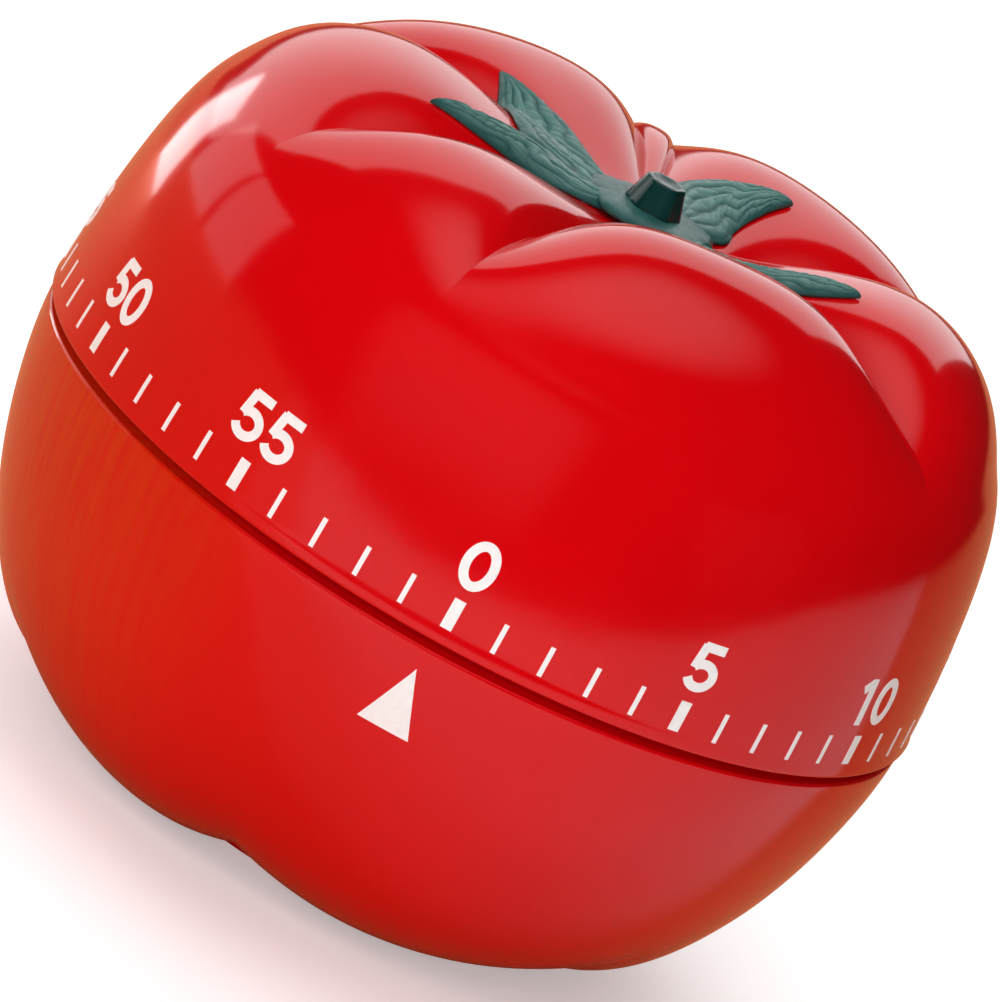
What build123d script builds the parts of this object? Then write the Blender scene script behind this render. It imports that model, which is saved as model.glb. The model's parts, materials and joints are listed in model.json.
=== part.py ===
from build123d import *
import os
from collections import namedtuple
from math import acos, atan2, cos, degrees, hypot, pi, radians, sin, tan

# Tomato-shaped mechanical kitchen timer, 0 to 60 minutes, standing at zero.
# Millimetres and degrees, +Z up, origin on the table under the dial's axis.
# The pointer on the base faces -Y. "Heading" is an angle about +Z from -Y towards +X.

# ---- Shells -------------------------------------------------------------------------------
ring_radius = 33.5            # the circle that carries the minute marks
seam_height = 26.5            # middle of the open seam between cap and base
seam_gap = 0.67
wall = 1.8
lip_clearance = 0.5           # between the base's inner lip and the turning cap
lip_height = 2.3
lip_thickness = 1.5
stand_ring_radius = 12.4      # moulded ring that the timer stands on
stand_ring_width = 1.5
floor_height = 3.2            # recessed underside inside the standing ring
cap_hole_radius = 1.6         # takes the stem's plug

# A shell is a profile (radius, height) of Bezier points along its creases, from the seam to
# the axis, with lobes that swell out between the creases. Creases are headings, in order.
# swell says where along the profile a lobe starts, is fullest and ends. crown is 1 for lobes
# that are parabolas across, and less for fuller ones that drop more steeply to their creases.
Shell = namedtuple("Shell", "profile outward creases bulges swell crown")
cap_surface = Shell(
    profile=[(33.65, seam_height + seam_gap / 2), (33.5, 37.2), (30.2, 48.0), (34.2, 54.6),
             (18.5, 49.2), (9.5, 50.0), (4.0, 50.1), (0.0, 50.1)],
    outward=1,
    creases=[-21.0, 58.5, 115.5, 179.0, 186.5, 245.5, 302.5],
    bulges=[4.9, 4.0, 3.1, 0.8, 2.9, 2.6, 2.2],
    swell=(0.31, 0.58, 0.88),
    crown=0.37,
)
base_surface = Shell(
    profile=[(ring_radius, seam_height - seam_gap / 2), (ring_radius, 17.7), (28.0, 4.2),
             (27.2, -1.2), (12.7, floor_height), (5.0, floor_height), (0.0, floor_height)],
    outward=-1,
    creases=[-12.0, 57.0, 97.0, 153.0, 202.0, 250.0, 292.0],
    bulges=[1.9, 1.7, 1.9, 1.9, 1.9, 1.7, 2.2],
    swell=(0.27, 0.68, 0.94),
    crown=0.75,
)

# ---- Calyx and stem -----------------------------------------------------------------------
Leaf = namedtuple("Leaf", "heading length width")
leaves = [Leaf(-119.0, 16.3, 7.0), Leaf(-66.0, 18.6, 5.6), Leaf(143.0, 15.1, 8.0),
          Leaf(75.0, 15.7, 5.6), Leaf(18.0, 11.0, 5.0)]
leaf_thickness = 0.8
leaf_lift = 0.2               # leaves lie this far above the lobes
calyx_collar_radius = 3.2
stem_foot_radius = 2.05
stem_top_radius = 1.45
stem_foot_height = 51.2
stem_top_height = 53.4
stem_plug_length = 5.0

# ---- Movement frame -----------------------------------------------------------------------
plate_thickness = 1.0
lower_plate_height = 12.0
upper_plate_height = 27.0
lower_plate_radius = 27.0
upper_plate_radius = 22.0
pillar_radius = 1.8
pillar_circle = 20.2
pillar_angles = (38.0, 226.0, 312.0)
post_radius = 2.6
post_circle = 24.5
post_angles = (100.0, 220.0, 340.0)
screw_radius = 1.1
screw_head_radius = 2.2
screw_head_height = 1.2
running_fit = 0.05            # radial clearance of a turning pivot
press_gap = 0.01              # radial gap of a wheel on its arbor

# ---- Bell ---------------------------------------------------------------------------------
bell_radius = 17.0
bell_rim_height = 6.2
bell_top_height = 9.5
bell_thickness = 0.9
bell_post_radius = 3.4

# ---- Going train --------------------------------------------------------------------------
pressure_angle = radians(20)
tooth_backlash = 0.06
wheel_thickness = 0.8
arbor_radius = 0.9
pivot_radius = 0.5
pinion_shift = 0.5            # profile shift that keeps small pinions from being undercut
main_module, second_module, third_module = 0.45, 0.36, 0.30
main_teeth, second_teeth, third_teeth = 54, 48, 48
second_leaves, third_leaves, escape_leaves = 9, 8, 8
main_wheel_height = 20.0
second_wheel_height = 22.6
third_wheel_height = 24.6
escape_wheel_height = 15.0
escape_teeth = 20
escape_radius = 5.5
third_circle = 15.5           # distance of the third arbor from the dial's axis
escape_circle = 16.5
pallet_circle = 17.2
pallet_distance = 8.6
pallet_reach = 6.2
pallet_tip_radius = 0.5
pallet_clearance = 0.45       # anchor tips to the escape wheel's tip circle

# ---- Dial arbor, spring and alarm ---------------------------------------------------------
main_arbor_radius = 2.5
main_pivot_radius = 1.5
main_arbor_top = 46.0
arbor_flat = 1.9              # distance of the D-flat from the axis
hub_radius = 5.0
hub_bottom = 34.0
spring_inner_radius = 3.4
spring_outer_radius = 9.8
spring_turns = 8
spring_strip = 0.32
spring_width = 4.5
spring_bottom = 13.6
cam_radius = 7.5
cam_height = 29.4
cam_notch_depth = 1.3
stop_pin_radius = 0.8
stop_pin_circle = 10.0
stop_angle = 18.0             # what the stop pin takes out of the dial's full turn
tab_angle = 75.0
tab_radius = 0.6
trip_nose_angle = -48.0       # where the trip lever's nose stands beside the cam
trip_nose_radius = 0.7
hammer_pivot = (17.6, 8.2)
hammer_head = (18.95, 0.0)
hammer_head_radius = 1.4
trip_pivot = (6.0, -14.5)
trip_tail = (12.4, -11.0)
trip_nose_clearance = 0.25


# ---- Lobed shells -------------------------------------------------------------------------
def profile_point(shell, s):
    """Point and outward normal of a shell's crease profile, by de Casteljau's construction."""
    points = shell.profile
    while len(points) > 2:
        points = [(a[0] + (b[0] - a[0]) * s, a[1] + (b[1] - a[1]) * s)
                  for a, b in zip(points, points[1:])]
    (r0, z0), (r1, z1) = points
    length = hypot(r1 - r0, z1 - z0)
    normal = (shell.outward * (z1 - z0) / length, shell.outward * (r0 - r1) / length)
    return (r0 + (r1 - r0) * s, z0 + (z1 - z0) * s), normal


def smooth_step(t):
    t = min(1.0, max(0.0, t))
    return t * t * (3 - 2 * t)


def shell_point(shell, s, lobe, across, inset=0.0):
    """Point of a lobed surface. across runs from -1 to 1 between the lobe's two creases."""
    start = shell.creases[lobe]
    end = shell.creases[lobe + 1] if lobe + 1 < len(shell.creases) else shell.creases[0] + 360
    heading = radians(start + (end - start) * (across + 1) / 2)
    (radius, height), (out_r, out_z) = profile_point(shell, s)
    low, full, high = shell.swell
    rise = smooth_step((s - low) / (full - low)) * smooth_step((high - s) / (high - full))
    lobe_shape = 1 - shell.crown * across**2 - (1 - shell.crown) * across**4
    out = shell.bulges[lobe] * rise * lobe_shape - inset
    radius += out_r * out
    return radius * sin(heading), -radius * cos(heading), height + out_z * out


def section_wire(shell, s, inset):
    """Closed section of a lobed surface, one spline from crease to crease for each lobe."""
    steps = 8
    edges = []
    for lobe in range(len(shell.creases)):
        points = [shell_point(shell, s, lobe, 2 * i / steps - 1, inset) for i in range(steps + 1)]
        edges.append(Edge.make_spline(points, parameters=[i / steps for i in range(steps + 1)]))
    return Wire(edges)


def lobed_solid(shell, inset, first, last, sections):
    steps = [first + (last - first) * i / (sections - 1) for i in range(sections)]
    return Solid.make_loft([section_wire(shell, s, inset) for s in steps])


def surface_height(shell, radius, heading):
    """Height of a lobed surface above a point of its flank that faces up."""
    starts = shell.creases
    turned = (heading - starts[0]) % 360 + starts[0]
    lobe = max(i for i, start in enumerate(starts) if start <= turned)
    end = starts[lobe + 1] if lobe + 1 < len(starts) else starts[0] + 360
    across = 2 * (turned - starts[lobe]) / (end - starts[lobe]) - 1
    near, far = 0.45, 1.0
    for _ in range(30):
        middle = (near + far) / 2
        x, y, z = shell_point(shell, middle, lobe, across)
        near, far = (middle, far) if hypot(x, y) > radius else (near, middle)
    return z


def make_base_shell():
    outer = lobed_solid(base_surface, 0.0, 0.0, 0.98, 18)
    inner = lobed_solid(base_surface, wall, -0.02, 0.95, 18)
    lip_radius = cap_surface.profile[0][0] - wall - lip_clearance
    lip_bottom = seam_height - 6
    lip = Pos(0, 0, lip_bottom) * Cylinder(
        lip_radius, seam_height + lip_height - lip_bottom, align=(Align.CENTER, Align.CENTER, Align.MIN))
    lip -= Pos(0, 0, lip_bottom) * Cone(
        lip_radius + 1, lip_radius - lip_thickness, 4, align=(Align.CENTER, Align.CENTER, Align.MIN))
    lip -= Cylinder(lip_radius - lip_thickness, 200)
    posts = column(0, 0, bell_post_radius, 0, bell_top_height - bell_thickness)
    posts += [column(x, y, post_radius, 0, lower_plate_height) for x, y in post_places()]
    posts &= outer
    stand = tube(stand_ring_radius, stand_ring_radius - stand_ring_width, 0, floor_height + wall / 2)
    shell = outer - inner
    shell = shell + lip + posts + stand
    for x, y in post_places():
        shell -= column(x, y, screw_radius + running_fit, lower_plate_height - 5, 20)
    shell -= column(0, 0, screw_radius + running_fit, floor_height + wall, 20)
    return shell


def make_cap_shell():
    outer = lobed_solid(cap_surface, 0.0, 0.0, 0.96, 20)
    inner = lobed_solid(cap_surface, wall, -0.02, 0.86, 18)
    hub_top = cap_surface.profile[-1][1] - wall / 2
    hub = column(0, 0, hub_radius, hub_bottom, hub_top)
    shell = outer - inner
    shell = shell + hub
    shell -= column(0, 0, cap_hole_radius, hub_bottom, 60)
    shell -= d_shaft(main_arbor_radius + press_gap, arbor_flat + press_gap, hub_bottom - 1, main_arbor_top)
    return shell


# ---- Plain shapes -------------------------------------------------------------------------
def column(x, y, radius, bottom, top):
    return Pos(x, y, bottom) * Cylinder(radius, top - bottom, align=(Align.CENTER, Align.CENTER, Align.MIN))


def tube(outer, inner, bottom, top):
    return column(0, 0, outer, bottom, top) - column(0, 0, inner, bottom - 1, top + 1)


def d_shaft(radius, flat, bottom, top):
    cut = Pos(flat + radius, 0, (bottom + top) / 2) * Box(2 * radius, 2 * radius, top - bottom + 2)
    return column(0, 0, radius, bottom, top) - cut


def polar(radius, angle):
    return radius * cos(radians(angle)), radius * sin(radians(angle))


def post_places():
    return [polar(post_circle, angle) for angle in post_angles]


def pillar_places():
    return [polar(pillar_circle, angle) for angle in pillar_angles]


def strip_between(start, end, start_radius, end_radius, bottom, top):
    """Flat lever: the hull of two discs."""
    discs = [Pos(*start) * Circle(start_radius), Pos(*end) * Circle(end_radius)]
    outline = make_hull([edge for disc in discs for edge in disc.edges()])
    return Pos(0, 0, bottom) * extrude(outline, top - bottom)


# ---- Gears --------------------------------------------------------------------------------
def involute(angle):
    return tan(angle) - angle


def gear_face(teeth, module, shift, addendum):
    """Involute gear outline with a tooth centred on +X, thinned by half the backlash."""
    pitch = teeth * module / 2
    base = pitch * cos(pressure_angle)
    root = pitch - module * (1.25 - shift)
    tip = pitch + module * addendum
    pitch_half = (pi / 2 + 2 * shift * tan(pressure_angle)) / teeth - tooth_backlash / 4 / pitch

    def half_angle(radius):
        roll = acos(min(1.0, base / radius))
        return pitch_half + involute(pressure_angle) - involute(roll)

    start = max(base, root)
    flank = [(root, half_angle(start))] if root < base else []
    flank += [(start + (tip - start) * i / 4, half_angle(start + (tip - start) * i / 4)) for i in range(5)]
    tooth = [(radius, -angle) for radius, angle in flank] + flank[::-1]
    points = []
    for index in range(teeth):
        turn = 2 * pi * index / teeth
        points += [(r * cos(turn + a), r * sin(turn + a)) for r, a in tooth]
    return make_face(Polyline(*points, close=True))


def wheel_face(teeth, module):
    return gear_face(teeth, module, -pinion_shift, 1 - pinion_shift)


def pinion_face(teeth, module):
    return gear_face(teeth, module, pinion_shift, 0.8 + pinion_shift)


def gear(face, place, toward, bottom, thickness, gap=0.0):
    """Gear at a place, with a tooth towards an angle in radians, turned further by gap."""
    x, y = place
    return Pos(x, y, bottom) * Rot(0, 0, degrees(toward + gap)) * extrude(face, thickness)


def direction(start, end):
    return atan2(end[1] - start[1], end[0] - start[0])


def beside(circle, previous, distance):
    """Place on a circle about the dial's axis, a given distance clockwise from a previous place."""
    radius = hypot(*previous)
    turn = acos((radius**2 + circle**2 - distance**2) / (2 * radius * circle))
    angle = atan2(previous[1], previous[0]) - turn
    return circle * cos(angle), circle * sin(angle)


second_distance = main_module * (main_teeth + second_leaves) / 2
third_distance = second_module * (second_teeth + third_leaves) / 2
escape_distance = third_module * (third_teeth + escape_leaves) / 2
second_place = (-second_distance, 0.0)
third_place = beside(third_circle, second_place, third_distance)
escape_place = beside(escape_circle, third_place, escape_distance)
pallet_place = beside(pallet_circle, escape_place, pallet_distance)
train_places = [second_place, third_place, escape_place, pallet_place]


# ---- Movement -----------------------------------------------------------------------------
def make_plate(radius, height, center_bore, pivots):
    plate = column(0, 0, radius, height, height + plate_thickness)
    plate -= column(0, 0, center_bore, height - 1, height + 2)
    for (x, y), bore in pivots:
        plate -= column(x, y, bore, height - 1, height + 2)
    return plate


def make_lower_plate():
    pivots = [(place, pivot_radius + running_fit) for place in train_places]
    pivots += [(hammer_pivot, arbor_radius + running_fit)]
    pivots += [(place, 1.0 + press_gap) for place in pillar_places()]
    pivots += [(place, screw_radius + 2 * running_fit) for place in post_places()]
    return make_plate(lower_plate_radius, lower_plate_height, main_pivot_radius + running_fit, pivots)


def make_upper_plate():
    pivots = [(place, pivot_radius + running_fit) for place in train_places]
    pivots += [(hammer_pivot, arbor_radius + running_fit), (trip_pivot, 0.9 + press_gap)]
    pivots += [(place, 0.8 + press_gap) for place in pillar_places()]
    pivots += [(stop_place(), stop_pin_radius + press_gap)]
    return make_plate(upper_plate_radius, upper_plate_height, main_arbor_radius + running_fit, pivots)


def make_pillars():
    top = upper_plate_height
    bottom = lower_plate_height + plate_thickness
    pillars = []
    for x, y in pillar_places():
        pillar = column(x, y, pillar_radius, bottom, top) + column(x, y, 1.0, lower_plate_height, bottom)
        pillars.append(pillar - column(x, y, 0.8 + press_gap, top - 5, top + 1))
    return Compound(children=pillars)


def screw(x, y, head_bottom, shank, shank_radius, head_radius, head_height):
    body = column(x, y, head_radius, head_bottom, head_bottom + head_height)
    body += column(x, y, shank_radius, head_bottom - shank, head_bottom)
    slot = Pos(x, y, head_bottom + head_height) * Box(2 * head_radius + 1, 0.5, 0.8)
    return body - slot


def make_pillar_screws():
    top = upper_plate_height + plate_thickness
    return Compound(children=[screw(x, y, top, 5, 0.8, 1.7, 0.9) for x, y in pillar_places()])


def make_movement_screws():
    top = lower_plate_height + plate_thickness
    screws = [screw(x, y, top, 5, screw_radius, screw_head_radius, screw_head_height)
              for x, y in post_places()]
    return Compound(children=screws)


def make_bell():
    outer = [(0, bell_top_height), (12.5, bell_top_height), (15.4, bell_top_height - 0.8),
             (16.7, bell_top_height - 1.9), (bell_radius, bell_rim_height)]
    t = bell_thickness
    inner = [(bell_radius - t, bell_rim_height), (16.7 - t, bell_top_height - 2.2),
             (15.0 - t / 2, bell_top_height - 0.8 - t), (12.3, bell_top_height - t), (0, bell_top_height - t)]
    section = Plane.XZ * make_face(Polyline(*outer, *inner, close=True))
    bell = revolve(section, Axis.Z)
    return bell - column(0, 0, screw_radius + running_fit, 0, 20)


def make_mainspring():
    """Flat spiral strip from the arbor's hook out to a pillar-side end."""
    count = spring_turns * 16

    def edge(offset):
        points = []
        for i in range(count + 1):
            share = i / count
            radius = spring_inner_radius + (spring_outer_radius - spring_inner_radius) * share + offset
            angle = 2 * pi * spring_turns * share
            points.append((radius * cos(angle), radius * sin(angle)))
        return points

    inner, outer = edge(0), edge(spring_strip)
    outline = [Spline(*inner), Line(inner[-1], outer[-1]), Spline(*outer), Line(outer[0], inner[0])]
    return Pos(0, 0, spring_bottom) * extrude(make_face(outline), spring_width)


def make_main_arbor():
    arbor = column(0, 0, main_arbor_radius, lower_plate_height + plate_thickness + 0.2, main_arbor_top)
    arbor -= (column(0, 0, 4, hub_bottom, main_arbor_top + 1)
              - d_shaft(main_arbor_radius, arbor_flat, hub_bottom - 1, main_arbor_top + 2))
    return arbor + column(0, 0, main_pivot_radius, lower_plate_height, lower_plate_height + 2)


def make_main_wheel():
    wheel = gear(wheel_face(main_teeth, main_module), (0, 0), direction((0, 0), second_place),
                 main_wheel_height, 1.2)
    wheel -= column(0, 0, main_arbor_radius + press_gap, 0, 60)
    for index in range(4):
        x, y = polar(7.9, 45 + 90 * index)
        wheel -= column(x, y, 1.9, 0, 60)
    return wheel


def make_ratchet_wheel():
    """Saw-toothed wheel that lets the dial wind the spring without driving the train."""
    teeth = 16
    points = []
    for index in range(teeth):
        points += [polar(4.6, 360 * index / teeth), polar(3.9, 360 * (index + 0.05) / teeth)]
    top = main_wheel_height - 0.1
    wheel = Pos(0, 0, top - 0.9) * extrude(make_face(Polyline(*points, close=True)), 0.9)
    return wheel - column(0, 0, main_arbor_radius + press_gap, 0, 60)


def make_click():
    """Pawl under the main wheel, resting on the ratchet wheel's teeth."""
    top = main_wheel_height - 0.1
    x, y = polar(7.6, 20)
    pawl = strip_between((x, y), polar(5.25, -8), 1.0, 0.45, top - 0.8, top)
    return pawl + column(x, y, 0.6, top - 0.8, top + 0.05)


def make_cam():
    """Trip cam: a disc with a notch for the lever's nose and a tab that meets the stop pin."""
    cam = column(0, 0, cam_radius, cam_height, cam_height + 1.2)
    wedge = [(0, 0)] + [polar(14, trip_nose_angle + a) for a in (-32, -19, -6, 8)]
    notch = Pos(0, 0, cam_height - 1) * extrude(make_face(Polyline(*wedge, close=True)), 4)
    notch -= column(0, 0, cam_radius - cam_notch_depth, cam_height - 2, cam_height + 5)
    tab = strip_between(polar(6, tab_angle), polar(stop_pin_circle, tab_angle), tab_radius, tab_radius,
                        cam_height - 0.8, cam_height)
    tab += column(*polar(6, tab_angle), tab_radius, cam_height - 0.8, cam_height + 0.6)
    return (cam - notch + tab) - column(0, 0, main_arbor_radius + press_gap, 0, 60)


def stop_place():
    """The stop pin stands just ahead of the cam's tab, on the side that zero is reached from."""
    return polar(stop_pin_circle, tab_angle + stop_angle / 2)


def make_stop_pin():
    x, y = stop_place()
    return column(x, y, stop_pin_radius, upper_plate_height, cam_height - 0.1)


def make_arbor_clip():
    """Spring clip above the upper plate that keeps the arbor in the movement."""
    top = cam_height - 0.2
    ring = tube(3.9, main_arbor_radius + press_gap, top - 0.7, top)
    return ring - Pos(4, 0, top) * Box(6, 2.2, 4)


def make_arbor(place, top=upper_plate_height):
    """Train arbor: a body between the plates and a thin pivot in each plate."""
    x, y = place
    bottom = lower_plate_height + plate_thickness
    body = column(x, y, arbor_radius, bottom + 0.15, top - 0.15)
    return body + column(x, y, pivot_radius, lower_plate_height, top + plate_thickness)


def make_pinion(leaves_count, module, place, driver_place, bottom, thickness):
    toward = direction(place, driver_place)
    face = pinion_face(leaves_count, module)
    return make_arbor(place) + gear(face, place, toward, bottom, thickness, gap=pi / leaves_count)


def make_wheel(teeth, module, place, next_place, height):
    x, y = place
    wheel = gear(wheel_face(teeth, module), place, direction(place, next_place), height, wheel_thickness)
    wheel -= column(x, y, arbor_radius + press_gap, 0, 60)
    pitch = teeth * module / 2
    for index in range(4):
        dx, dy = polar(pitch * 0.52, 45 + 90 * index)
        wheel -= column(x + dx, y + dy, pitch * 0.2, 0, 60)
    return wheel


def make_escape_wheel():
    points = []
    for index in range(escape_teeth):
        points += [polar(escape_radius, 360 * index / escape_teeth),
                   polar(escape_radius - 1.1, 360 * (index + 0.25) / escape_teeth)]
    x, y = escape_place
    wheel = Pos(x, y, escape_wheel_height) * extrude(make_face(Polyline(*points, close=True)), 0.6)
    for index in range(4):
        dx, dy = polar(2.6, 90 * index)
        wheel -= column(x + dx, y + dy, 0.9, 0, 60)
    return wheel - column(x, y, arbor_radius + press_gap, 0, 60)


def make_pallet():
    """Anchor: two arms that straddle the escape wheel, clear of its tip circle."""
    toward = direction(pallet_place, escape_place)
    height = escape_wheel_height - 0.1
    tip_distance = escape_radius + pallet_tip_radius + pallet_clearance
    spread = acos((pallet_distance**2 + pallet_reach**2 - tip_distance**2)
                  / (2 * pallet_distance * pallet_reach))
    x, y = pallet_place
    anchor = column(x, y, 1.6, height, height + 0.8)
    for side in (-1, 1):
        angle = toward + side * spread
        end = (x + pallet_reach * cos(angle), y + pallet_reach * sin(angle))
        anchor += strip_between(pallet_place, end, 0.9, pallet_tip_radius, height, height + 0.8)
    return anchor - column(x, y, arbor_radius + press_gap, 0, 60)


def make_balance_bar():
    """Weighted bar on the pallet's arbor that sets the beat."""
    x, y = pallet_place
    along = direction((0, 0), pallet_place) + pi / 2
    height = escape_wheel_height + 2.4
    bar = column(x, y, 1.6, height, height + 1)
    for side in (-1, 1):
        end = (x + side * 5.0 * cos(along), y + side * 5.0 * sin(along))
        bar += strip_between(pallet_place, end, 0.7, 0.7, height, height + 1)
        bar += column(*end, 1.3, height - 0.5, height + 1.5)
    return bar - column(x, y, arbor_radius + press_gap, 0, 60)


def make_hammer_arbor():
    x, y = hammer_pivot
    return column(x, y, arbor_radius, lower_plate_height - 2.2, upper_plate_height + plate_thickness + 2.4)


def make_hammer_arm():
    height = lower_plate_height - 1.8
    arm = strip_between(hammer_pivot, hammer_head, 1.7, 1.0, height, height + 1)
    return arm - column(*hammer_pivot, arbor_radius + press_gap, 0, 60)


def make_hammer_head():
    return column(*hammer_head, hammer_head_radius, bell_rim_height + 0.2, lower_plate_height - 1.8)


def make_hammer_flag():
    """Arm on top of the hammer's arbor that the trip lever holds while time is running."""
    height = upper_plate_height + plate_thickness + 1.2
    x, y = hammer_pivot
    flag = strip_between(hammer_pivot, (x - 1.6, y - 6.0), 1.6, 0.8, height, height + 1)
    return flag - column(x, y, arbor_radius + press_gap, 0, 60)


def make_trip_lever():
    """Lever above the upper plate: its nose rides the cam and its tail holds the hammer's flag."""
    nose = polar(cam_radius + trip_nose_clearance + trip_nose_radius, trip_nose_angle)
    lever = strip_between(trip_pivot, nose, 1.7, trip_nose_radius, cam_height + 0.1, cam_height + 1.1)
    lever += strip_between(trip_pivot, trip_tail, 1.7, 0.9, cam_height + 0.1, cam_height + 1.1)
    return lever - column(*trip_pivot, 0.9 + running_fit, 0, 60)


def make_trip_stud():
    x, y = trip_pivot
    stud = column(x, y, 0.9, upper_plate_height, cam_height + 1.2)
    stud += column(x, y, 1.5, upper_plate_height + plate_thickness, cam_height - 0.15)
    return stud + column(x, y, 1.5, cam_height + 1.15, cam_height + 1.6)


# ---- Calyx and stem -----------------------------------------------------------------------
def leaf_underside(leaf, radius):
    """Lowest height that clears the lobes across the leaf's width at this radius."""
    spread = 180 / pi * leaf.width / 2 / max(radius, leaf.width / 2)
    headings = [leaf.heading + spread * i / 3 for i in range(-3, 4)]
    return max(surface_height(cap_surface, radius, heading) for heading in headings) + leaf_lift


def make_leaf(leaf):
    """A pointed leaf: a bent strip seen from the side, trimmed to its outline seen from above."""
    radii = [2.0 + (leaf.length - 2.0) * i / 6 for i in range(7)]
    under = [(radius, leaf_underside(leaf, radius)) for radius in radii]
    under = [(0, under[0][1])] + under
    over = [(radius, height + leaf_thickness) for radius, height in under]
    side = Plane.XZ * make_face(Polyline(*under, *over[::-1], close=True))
    strip = extrude(side, leaf.width, both=True)
    half = leaf.width / 2
    length = leaf.length
    outline = [(0, -half * 0.45), (length * 0.3, -half), (length * 0.62, -half * 0.75), (length, 0),
               (length * 0.62, half * 0.75), (length * 0.3, half), (0, half * 0.45)]
    plan = make_face([Spline(*outline[:4]), Spline(*outline[3:]), Line(outline[-1], outline[0])])
    blade = strip & (Pos(0, 0, 40) * extrude(plan, 30))
    return Rot(0, 0, leaf.heading - 90) * blade


def make_calyx():
    bottom = cap_surface.profile[-1][1] + leaf_lift
    calyx = column(0, 0, calyx_collar_radius, bottom, stem_foot_height - 0.02)
    for leaf in leaves:
        calyx += make_leaf(leaf)
    return calyx - column(0, 0, cap_hole_radius, 40, 60)


def make_stem():
    stem = Pos(0, 0, stem_foot_height) * Cone(
        stem_foot_radius, stem_top_radius, stem_top_height - stem_foot_height,
        align=(Align.CENTER, Align.CENTER, Align.MIN))
    plug_bottom = stem_foot_height - stem_plug_length
    stem += column(0, 0, cap_hole_radius - 2 * press_gap, plug_bottom, stem_foot_height)
    return stem


# ---- Everything ---------------------------------------------------------------------------
train_levels = {
    "second": (second_leaves, main_module, second_place, (0, 0), main_wheel_height - 0.4, 2.0),
    "third": (third_leaves, second_module, third_place, second_place, second_wheel_height - 0.5, 1.9),
    "escape": (escape_leaves, third_module, escape_place, third_place, third_wheel_height - 0.4, 1.8),
}
nodes = {
    "base_shell": make_base_shell(),
    "cap_shell": make_cap_shell(),
    "calyx": make_calyx(),
    "stem": make_stem(),
    "lower_plate": make_lower_plate(),
    "upper_plate": make_upper_plate(),
    "pillars": make_pillars(),
    "pillar_screws": make_pillar_screws(),
    "movement_screws": make_movement_screws(),
    "bell": make_bell(),
    "bell_screw": screw(0, 0, bell_top_height, 4, screw_radius, screw_head_radius, screw_head_height),
    "mainspring": make_mainspring(),
    "main_arbor": make_main_arbor(),
    "main_wheel": make_main_wheel(),
    "ratchet_wheel": make_ratchet_wheel(),
    "ratchet_click": make_click(),
    "trip_cam": make_cam(),
    "stop_pin": make_stop_pin(),
    "arbor_clip": make_arbor_clip(),
    "second_wheel": make_wheel(second_teeth, second_module, second_place, third_place, second_wheel_height),
    "third_wheel": make_wheel(third_teeth, third_module, third_place, escape_place, third_wheel_height),
    "escape_wheel": make_escape_wheel(),
    "pallet_anchor": make_pallet(),
    "pallet_arbor": make_arbor(pallet_place),
    "balance_bar": make_balance_bar(),
    "hammer_arbor": make_hammer_arbor(),
    "hammer_arm": make_hammer_arm(),
    "hammer_head": make_hammer_head(),
    "hammer_flag": make_hammer_flag(),
    "trip_lever": make_trip_lever(),
    "trip_stud": make_trip_stud(),
}
for name, level in train_levels.items():
    nodes[name + "_pinion"] = make_pinion(*level)

os.makedirs("parts", exist_ok=True)
for name, shape in nodes.items():
    export_step(shape, f"parts/{name}.step")
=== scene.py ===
import json
import math
from collections import namedtuple

import bmesh
import bpy
import numpy as np
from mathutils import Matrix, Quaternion, Vector
from mathutils.bvhtree import BVHTree


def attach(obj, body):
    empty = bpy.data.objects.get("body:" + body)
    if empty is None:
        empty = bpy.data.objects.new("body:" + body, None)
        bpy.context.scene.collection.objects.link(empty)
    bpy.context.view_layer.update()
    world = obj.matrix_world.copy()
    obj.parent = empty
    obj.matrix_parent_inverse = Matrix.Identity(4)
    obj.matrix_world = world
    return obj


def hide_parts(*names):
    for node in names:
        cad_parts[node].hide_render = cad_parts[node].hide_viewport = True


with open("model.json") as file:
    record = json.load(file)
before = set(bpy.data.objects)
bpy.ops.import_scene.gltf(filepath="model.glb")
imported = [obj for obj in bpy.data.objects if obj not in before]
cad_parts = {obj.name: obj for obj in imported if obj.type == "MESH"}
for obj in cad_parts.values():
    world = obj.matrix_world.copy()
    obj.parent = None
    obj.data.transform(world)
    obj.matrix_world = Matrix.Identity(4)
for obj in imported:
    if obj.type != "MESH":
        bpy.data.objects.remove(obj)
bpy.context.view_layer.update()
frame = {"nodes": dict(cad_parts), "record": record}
MM = 0.001  # metres

# ---- Sizes, in millimetres, as in the CAD model -------------------------------------------------
RING_RADIUS = 33.5
RING_HEIGHT = 28.0
SEAM_HEIGHT = 26.5
SEAM_GAP = 0.67
WALL = 1.8
STAND_OUTER, STAND_INNER = 12.4, 10.9
FLOOR_HEIGHT = 3.2
LIP_OUTER, LIP_INNER = 31.35, 29.85
LIP_TOP = SEAM_HEIGHT + 2.3
HOLE_RADIUS = 1.6
HUB_RADIUS, HUB_BOTTOM = 5.0, 34.0
BORE_RADIUS, BORE_TOP = 2.51, 46.0
STEM_FOOT, STEM_TOP = 51.2, 53.4

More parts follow.
